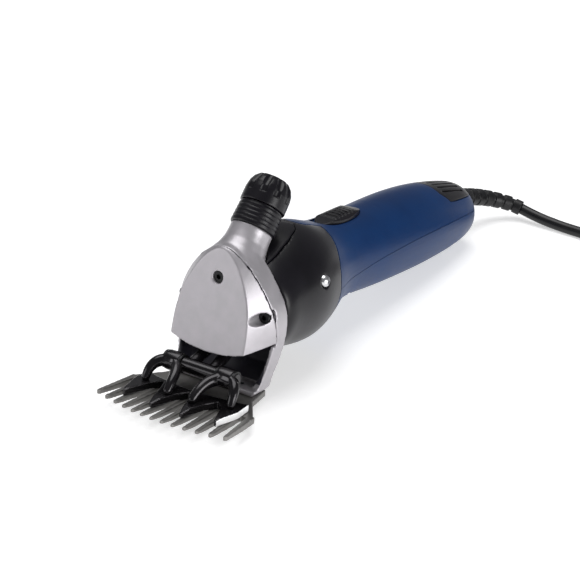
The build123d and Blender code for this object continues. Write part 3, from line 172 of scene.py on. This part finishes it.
FINISHES = {
    "cast_aluminium": finish_of("satin_cast_aluminium", (0.40, 0.385, 0.405), (0.44, 0.42, 0.445), 0.41, 0.62,
                                grain=1500, bump=0.55, depth=0.00006, patch=160,
                                wear_and_highlight=((0.74, 0.73, 0.76), 0.54, 0.64)),
    "blue_plastic": finish_of("moulded_blue_plastic", (0.0012, 0.021, 0.086), (0.0020, 0.026, 0.102), 0.38,
                              grain=3200, bump=0.16, patch=45, specular=0.18),
    "black_plastic": finish_of("moulded_black_plastic", (0.0035, 0.0030, 0.0048), (0.0060, 0.0052, 0.0080),
                               0.32, grain=3000, bump=0.15, specular=0.28),
    "inner_plastic": finish_of("cream_insulating_plastic", (0.55, 0.50, 0.40), (0.63, 0.58, 0.47), 0.45),
    "black_rubber": finish_of("matt_black_rubber", (0.005, 0.005, 0.006), (0.010, 0.010, 0.011), 0.40,
                              grain=1800, bump=0.22, sheen=0.03, specular=0.35),
    "cord_rubber": finish_of("cord_sheath", (0.005, 0.005, 0.006), (0.010, 0.010, 0.011), 0.36,
                             grain=1500, bump=0.20, stretch=(0.3, 1, 1), specular=0.35),
    "plug_plastic": finish_of("plug_plastic", (0.010, 0.010, 0.011), (0.017, 0.017, 0.018), 0.40),
    "comb_steel": finish_of("ground_comb_steel", (0.17, 0.165, 0.158), (0.24, 0.235, 0.225), 0.42, 0.8,
                            grain=900, bump=0.25, depth=0.00003, stretch=(4.0, 0.12, 1.0), patch=90,
                            wear_and_highlight=((0.50, 0.49, 0.47), 0.56, 0.68)),
    # edges lightened by pointiness: partly worn bare steel, partly a painted highlight along the cutter's
    # tooth edges
    "dark_steel": finish_of("blackened_steel", (0.010, 0.009, 0.011), (0.022, 0.020, 0.022), 0.20, 0.7,
                            grain=1400, bump=0.14, patch=110, coat=0.28,
                            wear_and_highlight=((0.42, 0.41, 0.40), 0.56, 0.70)),
    "bright_steel": finish_of("plated_steel", (0.60, 0.60, 0.62), (0.70, 0.70, 0.71), 0.24, 1.0, patch=300),
    "machined_steel": finish_of("turned_steel", (0.42, 0.42, 0.43), (0.54, 0.54, 0.55), 0.30, 1.0,
                                grain=1200, stretch=(1, 5, 5)),
    "inner_casting": finish_of("grey_die_casting", (0.36, 0.36, 0.37), (0.45, 0.45, 0.46), 0.50, 0.8,
                               grain=1500, bump=0.3),
    "laminations": finish_of("stacked_laminations", (0.18, 0.16, 0.14), (0.27, 0.24, 0.21), 0.45, 0.9,
                             grain=700, bump=0.5, depth=0.0001, stretch=(0.1, 3.0, 0.1)),
    "copper": finish_of("wound_copper", (0.66, 0.27, 0.11), (0.78, 0.36, 0.17), 0.33, 1.0,
                        grain=900, bump=0.4, stretch=(3.0, 0.2, 3.0)),
    "carbon": finish_of("carbon_brush", (0.020, 0.020, 0.021), (0.035, 0.035, 0.036), 0.55, 0.2, grain=1500),
    "filter_foam": finish_of("open_cell_foam", (0.035, 0.036, 0.038), (0.060, 0.061, 0.064), 0.90,
                             grain=1100, bump=0.9, depth=0.0006, patch=400),
    "pin_metal": finish_of("nickel_pin", (0.62, 0.58, 0.49), (0.72, 0.68, 0.58), 0.22, 1.0, patch=300),
}
SLOT_OF = {part["node"]: part["material_slot"] for part in frame["record"]["subparts"]}
for name, node in nodes.items():
    node.data.materials.clear()
    node.data.materials.append(FINISHES[SLOT_OF[name]])
# the cover's screws, deep in their holes, get this dark finish as painted shade; the fork's rings are
# blackened
BLACKENED_AND_SHADED = finish_of("blackened_and_shaded_fittings", (0.012, 0.012, 0.013), (0.022, 0.022, 0.023), 0.35, 0.7)
for name in ("cover_screws", "yoke_clips"):
    nodes[name].data.materials[0] = BLACKENED_AND_SHADED


def dress(piece, slot, body, *replaced):
    """Gives a new piece its finish and says what it rides on and stands for."""
    piece.data.materials.clear()
    piece.data.materials.append(FINISHES[slot])
    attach(piece, body)
    if replaced:
        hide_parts(*replaced)
    return piece


# ---------------------------------------------------------------- cord
CORD_RADIUS = 3.4
EXIT = (25.0, 198.12, 7.36)
LEAD = [EXIT, (36.5, 196.2, 5.3), (54.0, 195.4, 3.4), (70.0, 193.6, 3.4), (88.0, 191.9, 3.4)]
COIL_CENTRE = (105.0, 233.5)
COIL_MID_RADIUS = 35.0
COIL_ROWS = 4
COIL_COLUMNS = 3
TURN_POINTS = 16
COIL_FULLNESS = 1.0194       # the smooth line runs this much inside its control points
PLUG_AXIS = (35.2, 27.0)


def coil_points():
    """The coil's turns: layer on layer, each wound inwards and then outwards, ending outside on top."""
    points = []
    steps = COIL_ROWS * COIL_COLUMNS * TURN_POINTS + 2
    shift_steps = 3
    for step in range(steps):
        turn, within = divmod(step, TURN_POINTS)
        share = max(0.0, (within - (TURN_POINTS - shift_steps)) / shift_steps)
        places = []
        for number in (turn, turn + 1):
            number = min(number, COIL_ROWS * COIL_COLUMNS - 1)
            row, column = divmod(number, COIL_COLUMNS)
            inward = column if row % 2 == 0 else COIL_COLUMNS - 1 - column
            places.append((COIL_MID_RADIUS + 2 * CORD_RADIUS * (1 - inward),
                           CORD_RADIUS + 2 * CORD_RADIUS * row))
        radius = places[0][0] + (places[1][0] - places[0][0]) * share
        height = places[0][1] + (places[1][1] - places[0][1]) * share
        angle = math.radians(-90.0 + 360.0 * step / TURN_POINTS)
        reach = radius * COIL_FULLNESS
        points.append((COIL_CENTRE[0] + reach * math.cos(angle),
                       COIL_CENTRE[1] + reach * math.sin(angle), height))
    return points


def cord_points():
    cx, cy = COIL_CENTRE
    height, offset = PLUG_AXIS
    tail = [(cx + 34.5, cy - 17.0, 24.6), (cx + 39.0, cy - 3.0, 28.6), (cx + 36.5, cy + 13.0, 32.6),
            (cx + 26.5, cy + 23.5, 34.8), (cx + 14.0, cy + offset, height)]
    return LEAD + coil_points() + tail


curve = bpy.data.curves.new("mains_cord", "CURVE")
curve.dimensions = "3D"
curve.bevel_depth = CORD_RADIUS * MM
curve.bevel_resolution = 5
curve.resolution_u = 8
curve.use_fill_caps = True
spline = curve.splines.new("NURBS")
route = cord_points()
spline.points.add(len(route) - 1)
for point, place in zip(spline.points, route):
    point.co = (place[0] * MM, place[1] * MM, place[2] * MM, 1.0)
spline.use_endpoint_u = True
spline.order_u = 3
cord = bpy.data.objects.new("mains_cord", curve)
bpy.context.scene.collection.objects.link(cord)
dress(cord, "cord_rubber", "frame", "cord_lead", "cord_coil", "cord_tail")


# ---------------------------------------------------------------- moulded and cast pieces
def eased(work, name, voxel, passes):
    """One closed skin over a bmesh's shapes, with its edges eased: voxel is in mm."""
    mesh = bpy.data.meshes.new(name)
    work.to_mesh(mesh)
    work.free()
    piece = bpy.data.objects.new(name, mesh)
    bpy.context.scene.collection.objects.link(piece)
    remesh = piece.modifiers.new("voxels", "REMESH")
    remesh.mode = "VOXEL"
    remesh.voxel_size = voxel * MM
    remesh.use_smooth_shade = True
    smooth = piece.modifiers.new("ease", "SMOOTH")
    smooth.factor = 0.5
    smooth.iterations = passes
    graph = bpy.context.evaluated_depsgraph_get()
    final = bpy.data.meshes.new_from_object(piece.evaluated_get(graph))
    piece.modifiers.clear()
    piece.data = final
    final.name = name
    final.shade_smooth()
    return piece


def rounded(node, voxel, passes):
    """A CAD node's shape with its edges eased, as a casting's or a moulding's are."""
    work = bmesh.new()
    work.from_mesh(nodes[node].data)
    bmesh.ops.remove_doubles(work, verts=work.verts, dist=1e-6)
    if node == "head_casting":
        close_tunnel(work)
    return eased(work, node + "_piece", voxel, passes)


def prism(work, corners, shift):
    """A flat outline of corners in the machine's frame, in mm, carried along shift."""
    near = [work.verts.new(at(*corner)) for corner in corners]
    far = [work.verts.new(at(*(Vector(corner) + Vector(shift)))) for corner in corners]
    faces = [work.faces.new(near), work.faces.new(far[::-1])]
    for index in range(len(corners)):
        after = (index + 1) % len(corners)
        faces.append(work.faces.new((near[after], near[index], far[index], far[after])))
    bmesh.ops.recalc_face_normals(work, faces=faces)


def close_tunnel(work):
    """The casting's floor behind the jaw, and the webs beside the fork that meet the gear housing."""
    half = 25.5
    floor_side = [(-half, 60.4, 4.2), (-half, 69.4, 14.8), (-half, 69.4, 12.6), (-half, 61.6, 3.2)]
    prism(work, floor_side, (2 * half, 0, 0))
    for side in (-1, 1):
        outline = [(8.5, 12.6), (half, 12.6), (26.4, 26.0), (22.0, 24.5), (17.0, 19.9), (12.0, 17.2),
                   (8.5, 16.0)]
        prism(work, [(side * x, 67.6, z) for x, z in outline], (0, 1.8, 0))


def smooth_line(points, steps):
    """Points along a soft curve that starts and ends at the list's ends and bends towards the others."""
    line = []
    count = len(points) - 2
    for part in range(count):
        first = points[0] if part == 0 else (points[part] + points[part + 1]) / 2
        last = points[-1] if part == count - 1 else (points[part + 1] + points[part + 2]) / 2
        for step in range(steps + (part == count - 1)):
            t = step / steps
            line.append(first * (1 - t) ** 2 + points[part + 1] * 2 * t * (1 - t) + last * t ** 2)
    return line


def limb(work, stations, bulge=1.0, steps=10, sides=24):
    """A solid bar along a soft curve, its ends bulging.

    A station is (x, y, z, half width, half height), in mm.
    """
    line = smooth_line([Vector(station) for station in stations], steps)
    caps = 4
    rings = []
    for index, here in enumerate(line):
        before, after = line[max(index - 1, 0)], line[min(index + 1, len(line) - 1)]
        rings.append((Vector(here[:3]), (Vector(after[:3]) - Vector(before[:3])).normalized(),
                      here[3], here[4]))
    full = []
    first, last = rings[0], rings[-1]
    for step in range(caps, 0, -1):
        lean = math.pi / 2 * step / (caps + 0.35)
        full.append((first[0] - first[1] * min(first[2:]) * bulge * math.sin(lean), first[1],
                     first[2] * math.cos(lean), first[3] * math.cos(lean)))
    full += rings
    for step in range(1, caps + 1):
        lean = math.pi / 2 * step / (caps + 0.35)
        full.append((last[0] + last[1] * min(last[2:]) * bulge * math.sin(lean), last[1],
                     last[2] * math.cos(lean), last[3] * math.cos(lean)))
    loops = []
    for centre, ahead, wide, tall in full:
        across = ahead.cross(Vector((0, 1, 0)))
        across = (across if across.length > 0.2 else Vector((1, 0, 0))).normalized()
        up = across.cross(ahead).normalized()
        loop = []
        for side in range(sides):
            angle = 2 * math.pi * side / sides
            reach = across * wide * math.cos(angle) + up * tall * math.sin(angle)
            loop.append(work.verts.new(at(*(centre + reach))))
        loops.append(loop)
    for one, two in zip(loops, loops[1:]):
        for side in range(sides):
            work.faces.new((one[side], one[(side + 1) % sides], two[(side + 1) % sides], two[side]))
    work.faces.new(loops[0][::-1])
    work.faces.new(loops[-1])


def repaint(piece, finish, belongs):
    """Gives a second finish to the faces that belongs() picks.

    It picks by a face's middle and direction, in the machine's frame.
    """
    piece.data.materials.append(finish)
    for face in piece.data.polygons:
        if belongs(machine(face.center), machine(face.normal, False)):
            face.material_index = 1


ROUNDED = [
    # node, voxel in mm, smoothing passes
    ("comb", 0.33, 2),
    ("cutter", 0.30, 5),
    ("fork", 0.36, 6),
    ("head_cover", 0.40, 5),
    ("head_casting", 0.55, 5),
    ("tension_knob", 0.25, 5),
    ("tension_sleeve", 0.25, 4),
    ("switch_slider", 0.22, 4),
    ("housing_cap", 0.34, 4),
    ("gear_housing", 0.60, 4),
    ("filter_cover", 0.36, 4),
    ("strain_relief", 0.28, 3),
    ("plug_body", 0.45, 4),
    ("cord_tie", 0.30, 3),
]
made = {}
for node, voxel, passes in ROUNDED:
    made[node] = rounded(node, voxel, passes)
    dress(made[node], SLOT_OF[node], nodes[node]["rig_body"], node)

# dark painted shade for the recessed faces inside the jaw and behind the cover
JAW_PAINTED_SHADE = finish_of("jaw_painted_shade", (0.012, 0.012, 0.020), (0.022, 0.021, 0.032), 0.42, bump=0.2,
                      grain=1500)
# bare ground steel, made near-white as a painted highlight on the cutter's last tooth
GROUND_EDGE_HIGHLIGHT = finish_of("ground_edge_painted_highlight", (0.90, 0.90, 0.90), (0.94, 0.94, 0.94), 0.50, 0.35,
                        grain=900, bump=0.15, stretch=(1, 1, 6), patch=200)
JAW_REAR = 74.0


def in_jaw(place, way):
    """The casting's walls inside the jaw, and its tunnel behind them, which get a dark painted shade."""
    if not 4.6 < place.z < 66:
        return False
    out = abs(place.x)
    on_wall = 50 < place.y < JAW_REAR and way.x * place.x < -0.15 * out
    in_tunnel = 54.5 < place.y < JAW_REAR and out < 26.2
    return on_wall or in_tunnel and (way.y < -0.6 or way.z < -0.3 or out < 12)


# the cover's faces that look back into the head, which get the dark painted shade
def behind_cover(place, way):
    return way.y > 0.35 and abs(place.x) < 26 and place.y > 40


def on_highlighted_flank(place, way):
    """The ground flank of the cutter's last tooth: bare steel, made near-white as a painted highlight."""
    return place.x > 26.5 and way.x > 0.55 and place.z < 3.8


# dark painted shade inside the jaw and behind the cover
repaint(made["head_casting"], JAW_PAINTED_SHADE, in_jaw)
repaint(made["head_cover"], JAW_PAINTED_SHADE, behind_cover)
# a painted highlight on the outer flank of the cutter's last tooth
repaint(made["cutter"], GROUND_EDGE_HIGHLIGHT, on_highlighted_flank)


# ---------------------------------------------------------------- yokes
YOKE_X = 15.6
BAR_Y = 38.0
BAR_Z = 12.8
EYE_HALF = 3.9
FORK_REST = math.radians(1.8)
PIVOT_Y = 76.0
INNER_FOOT = (7.4, 20.6)
OUTER_FOOT = (25.4, 27.2)
CUTTER_TOP = 3.85


def swung(x, y, z, wide, tall):
    """A station turned about the centre post by the fork's angle at rest."""
    c, s = math.cos(FORK_REST), math.sin(FORK_REST)
    reach = y - PIVOT_Y
    return x * c - reach * s, PIVOT_Y + x * s + reach * c, z, wide, tall


def yoke_limb(work, stations, bulge=1.0):
    limb(work, [swung(*station) for station in stations], bulge)


# each leg's foot, as (x, y), and its bends between the eye and the foot, on the right yoke
LEGS = [
    (INNER_FOOT, [(12.4, 34.6, 12.6), (9.2, 29.6, 11.4), (7.7, 23.6, 8.2)]),
    (OUTER_FOOT, [(20.2, 36.0, 13.2), (23.8, 32.4, 12.0), (25.3, 28.6, 8.4)]),
]
for side_name, side in (("left", -1), ("right", 1)):
    middle = side * YOKE_X
    work = bmesh.new()
    # eye on the fork's bar, then the web between the legs
    yoke_limb(work, [(middle - EYE_HALF, BAR_Y, BAR_Z, 5.1, 5.1), (middle, BAR_Y, BAR_Z, 5.3, 5.3),
                     (middle + EYE_HALF, BAR_Y, BAR_Z, 5.1, 5.1)], 0.2)
    yoke_limb(work, [(middle, 37.0, 13.0, 5.4, 3.4), (middle, 34.4, 13.0, 5.6, 3.0),
                     (middle, 32.6, 12.4, 5.6, 2.4)], 0.4)
    for (foot_x, foot_y), bends in LEGS:
        high, knee, ankle = [(side * x, y, z) for x, y, z in bends]
        yoke_limb(work, [(middle, 36.6, 13.2, 3.6, 3.2), (*high, 3.3, 3.0), (*knee, 2.9, 2.7),
                         (*ankle, 2.5, 2.3), (side * foot_x, foot_y, CUTTER_TOP + 1.4, 2.2, 2.0)])
    dress(eased(work, side_name + "_yoke_piece", 0.30, 5), "dark_steel", "fork", side_name + "_yoke")


# ---------------------------------------------------------------- floor and light
def plain_mesh(name, corners, faces):
    mesh = bpy.data.meshes.new(name)
    mesh.from_pydata([tuple(corner) for corner in corners], [], faces)
    piece = bpy.data.objects.new(name, mesh)
    bpy.context.scene.collection.objects.link(piece)
    return piece


FLOOR_HALF = 6.0
FLOOR_GLOW = 0.50
corners = [(-FLOOR_HALF, -FLOOR_HALF, 0), (FLOOR_HALF, -FLOOR_HALF, 0), (FLOOR_HALF, FLOOR_HALF, 0),
           (-FLOOR_HALF, FLOOR_HALF, 0)]
floor = plain_mesh("studio_floor", corners, [(0, 1, 2, 3)])
floor_finish = finish_of("studio_floor", (0.80, 0.80, 0.80), (0.81, 0.81, 0.81), 0.50, bump=0.0,
                         specular=0.25)
floor_shader = next(n for n in floor_finish.node_tree.nodes if n.type == "BSDF_PRINCIPLED")
floor_shader.inputs["Emission Color"].default_value = (1.0, 1.0, 1.0, 1)
floor_shader.inputs["Emission Strength"].default_value = FLOOR_GLOW
floor.data.materials.append(floor_finish)

world = bpy.data.worlds.new("studio")
world.use_nodes = True
world.node_tree.nodes["Background"].inputs["Color"].default_value = (0.95, 0.96, 1.0, 1)
world.node_tree.nodes["Background"].inputs["Strength"].default_value = 0.22
bpy.context.scene.world = world


def lamp(name, kind, place, aim, power):
    data = bpy.data.lights.new(name, kind)
    data.energy = power
    light = bpy.data.objects.new(name, data)
    bpy.context.scene.collection.objects.link(light)
    turn = (Vector(aim) - Vector(place)).to_track_quat("-Z", "Y")
    light.matrix_world = Matrix.Translation(Vector(place)) @ turn.to_matrix().to_4x4()
    return data


def panel(name, place, aim, width, height, power):
    data = lamp(name, "AREA", place, aim, power)
    data.shape = "RECTANGLE"
    data.size = width
    data.size_y = height


sky = lamp("overhead_sun", "SUN", (-0.25, 0.20, 1.2), (0, 0, 0), 1.9)
sky.angle = math.radians(48)
panel("right_panel", (1.05, -0.22, 0.30), (0.0, -0.05, 0.06), 0.7, 0.5, 7.0)
panel("front_left_panel", (-0.75, -1.0, 0.42), (0.0, -0.05, 0.06), 0.6, 0.5, 2.5)
bpy.context.scene.view_settings.view_transform = "Standard"
